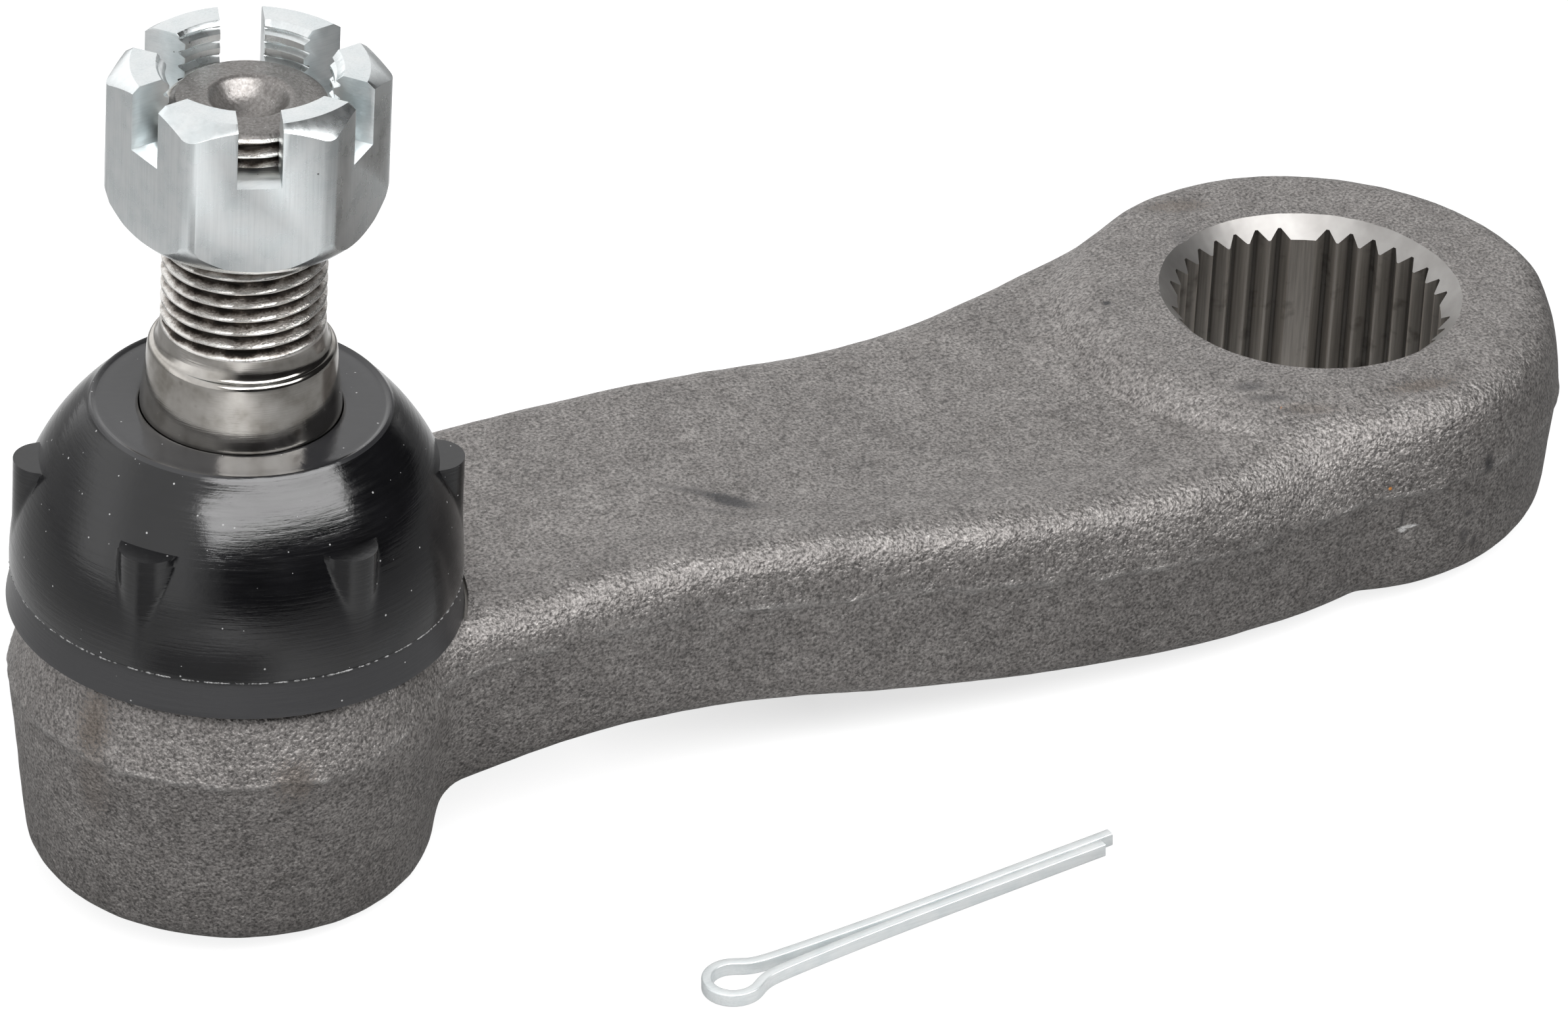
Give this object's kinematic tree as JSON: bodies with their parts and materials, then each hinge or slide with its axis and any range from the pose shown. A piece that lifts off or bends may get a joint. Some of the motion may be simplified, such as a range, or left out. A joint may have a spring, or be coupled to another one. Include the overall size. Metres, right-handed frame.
{
  "type": "pitman arm",
  "caption": "Forged steering pitman arm with a serrated bore at one end and a swivelling ball stud under a rubber boot at the other, with a castle nut and cotter pin.",
  "frame": {"origin": "centre of the serrated bore at the eye's top face", "axes": "+Z along the bore's axis, towards the stud's thread; +X from the ball stud to the eye"},
  "size_m": [0.1719, 0.0755, 0.0871],
  "materials": {
    "forged_steel": "shot-blasted forging",
    "turned_steel": "turned, lightly oiled",
    "spring_steel": "blued",
    "zinc_plate": "bright zinc plate",
    "boot_rubber": "glossy moulded rubber"
  },
  "bodies": {
    "arm": {"arm_forging": "forged_steel", "pressure_seat": "turned_steel", "preload_spring": "spring_steel", "cover_plate": "zinc_plate", "cotter_pin": "zinc_plate"},
    "boot": {"dust_boot": "boot_rubber"},
    "bearing": {"half_ball_bearing": "turned_steel"},
    "stud": {"ball_stud": "turned_steel"},
    "nut": {"castle_nut": "zinc_plate"}
  },
  "joints": [
    {"name": "stud_tilt", "type": "hinge", "parent": "arm", "child": "boot", "pos_m": [-0.1237, 0, -0.0113], "axis": [1, 0, 0], "range_deg": [-15, 15], "deforming": ["dust_boot"]},
    {"name": "stud_swing", "type": "hinge", "parent": "boot", "child": "bearing", "pos_m": [-0.1237, 0, -0.0113], "axis": [0, 1, 0], "range_deg": [-15, 15], "deforming": ["dust_boot"]},
    {"name": "stud_spin", "type": "hinge", "parent": "bearing", "child": "stud", "pos_m": [-0.1237, 0, -0.0113], "axis": [0, 0, 1], "continuous": true},
    {"name": "nut_turn", "type": "hinge", "parent": "stud", "child": "nut", "pos_m": [-0.1237, 0, 0.0398], "axis": [0, 0, 1], "continuous": true}
  ]
}
